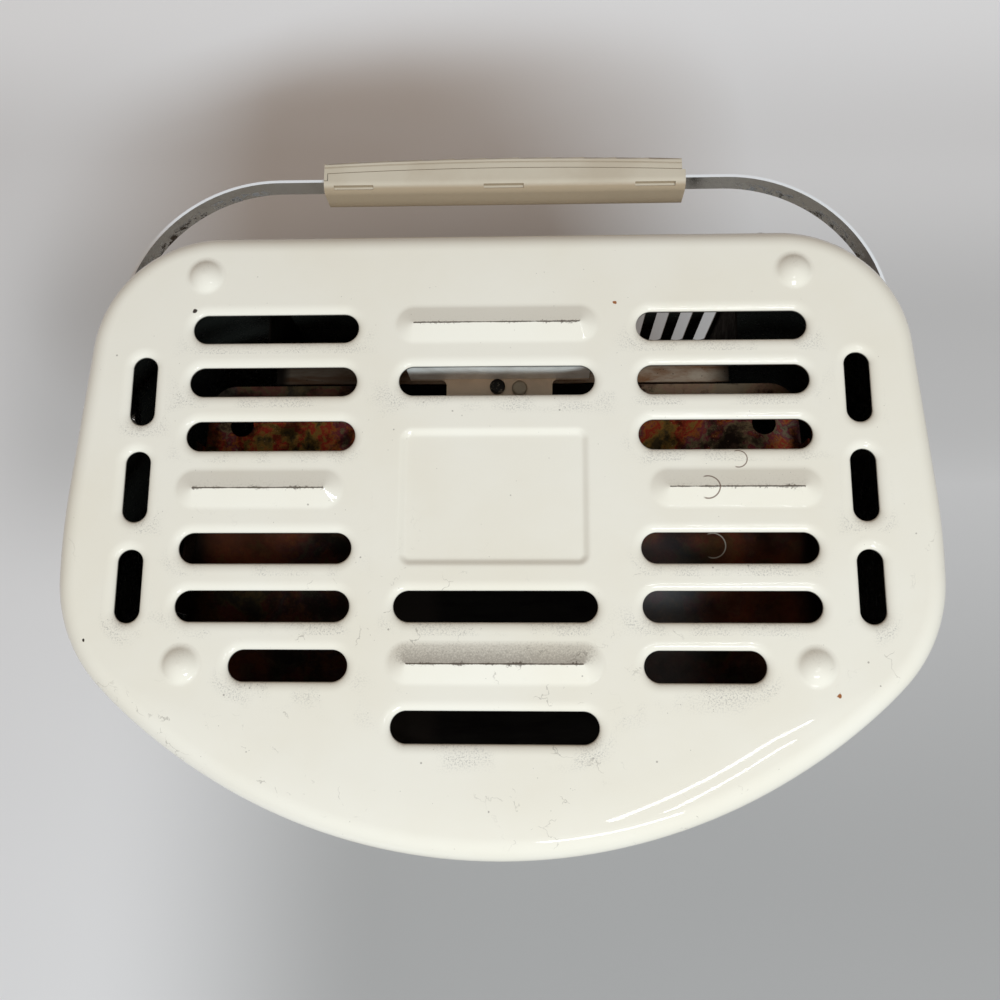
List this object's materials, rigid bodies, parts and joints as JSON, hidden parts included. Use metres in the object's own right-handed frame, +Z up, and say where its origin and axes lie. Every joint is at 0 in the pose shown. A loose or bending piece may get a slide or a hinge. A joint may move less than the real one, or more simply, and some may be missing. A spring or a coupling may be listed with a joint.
{
  "type": "gas radiant heater",
  "caption": "D-shaped free-standing gas heater with a pressed, slotted and ribbed cream top plate, a wire-guarded ceramic burner, a push-turn knob and a folding strap handle.",
  "frame": {"origin": "on the floor, under the middle of the heater's bounding box with the handle folded back", "axes": "+Z up, the front with its guard faces -Y, +X to the right seen from the front"},
  "size_m": [0.3478, 0.3008, 0.4328],
  "materials": {
    "cream_enamel": "glossy warm cream enamel on steel sheet",
    "base_enamel": "satin brown enamel",
    "foot_rubber": "matte",
    "plated_screw": "zinc plated",
    "guard_chrome": "bright plated wire",
    "galvanised": "galvanised sheet",
    "polished_reflector": "polished",
    "tinted_steel": "steel sheet coloured by heat",
    "plaque_ceramic": "unglazed",
    "fibre": "soft white fibre",
    "cast_alloy": "as cast",
    "brass": "turned",
    "gas_tube": "drawn tube",
    "plain_steel": "plain",
    "dark_plastic": "satin",
    "lid_plastic": "satin beige",
    "lead_rubber": "matte",
    "strap_chrome": "bright plated strap",
    "grip_plastic": "smooth beige moulding",
    "bush_plastic": "plain"
  },
  "bodies": {
    "case": {"top_plate": "cream_enamel", "side_panel_left": "cream_enamel", "side_panel_right": "cream_enamel", "rear_panel": "cream_enamel", "front_panel": "cream_enamel", "front_top_rail": "cream_enamel", "base_pan": "base_enamel", "rubber_feet": "foot_rubber", "plate_screws": "plated_screw", "panel_screws": "plated_screw", "bracket_screws": "plated_screw", "pivot_nuts": "plated_screw", "handle_stops": "plated_screw", "front_guard": "guard_chrome", "chamber_floor": "galvanised", "canopy_riser": "galvanised", "plate_support": "galvanised", "rear_heat_shield": "galvanised", "burner_bracket_left": "galvanised", "burner_bracket_right": "galvanised", "valve_bracket": "galvanised", "electrode_bracket": "galvanised", "tilt_switch_frame": "galvanised", "reflector": "polished_reflector", "canopy": "tinted_steel", "burner_box": "tinted_steel", "plaque_frame": "tinted_steel", "ceramic_plaques": "plaque_ceramic", "electrode_insulator": "plaque_ceramic", "burner_gasket": "fibre", "mixing_tube": "cast_alloy", "nozzle_holder": "cast_alloy", "valve_body": "cast_alloy", "gas_nozzle": "brass", "hose_nipple": "brass", "nipple_nut": "brass", "magnet_unit": "brass", "inlet_pipe": "gas_tube", "gas_pipe": "gas_tube", "thermocouple_lead": "gas_tube", "electrode_rod": "plain_steel", "thermocouple": "plain_steel", "battery_cell": "plain_steel", "knob_bezel": "dark_plastic", "igniter_unit": "dark_plastic", "battery_case": "lid_plastic", "ht_lead": "lead_rubber", "battery_leads": "lead_rubber", "pivot_screws": "strap_chrome", "pivot_bushes": "bush_plastic"},
    "handle": {"handle_strap": "strap_chrome", "grip_rear": "grip_plastic", "grip_front": "grip_plastic"},
    "spindle": {"valve_spindle": "plain_steel", "knob_spring": "plain_steel"},
    "knob": {"control_knob": "dark_plastic"},
    "battery_lid": {"battery_lid": "lid_plastic"},
    "tilt_weight": {"tilt_weight": "plain_steel"}
  },
  "joints": [
    {"name": "handle_swing", "type": "hinge", "parent": "case", "child": "handle", "pos_m": [0, 0.0308, 0.387], "axis": [1, 0, 0], "range_deg": [0, 90]},
    {"name": "knob_turn", "type": "hinge", "parent": "case", "child": "spindle", "pos_m": [0.10842, -0.12025, 0.08], "axis": [0.5, -0.866, 0], "range_deg": [0, 120]},
    {"name": "knob_push", "type": "slide", "parent": "spindle", "child": "knob", "axis": [-0.5, 0.866, 0], "range_m": [0, 0.005], "stiffness_N_per_m": 600, "springref_m": -0.003, "deforming": ["knob_spring"]},
    {"name": "battery_lid_hinge", "type": "hinge", "parent": "case", "child": "battery_lid", "pos_m": [-0.058, 0.1009, 0.0422], "axis": [-1, 0, 0], "range_deg": [0, 95]},
    {"name": "tilt_swing", "type": "hinge", "parent": "case", "child": "tilt_weight", "pos_m": [0.008, -0.014, 0.0608], "axis": [1, 0, 0], "range_deg": [-10, 10]}
  ]
}
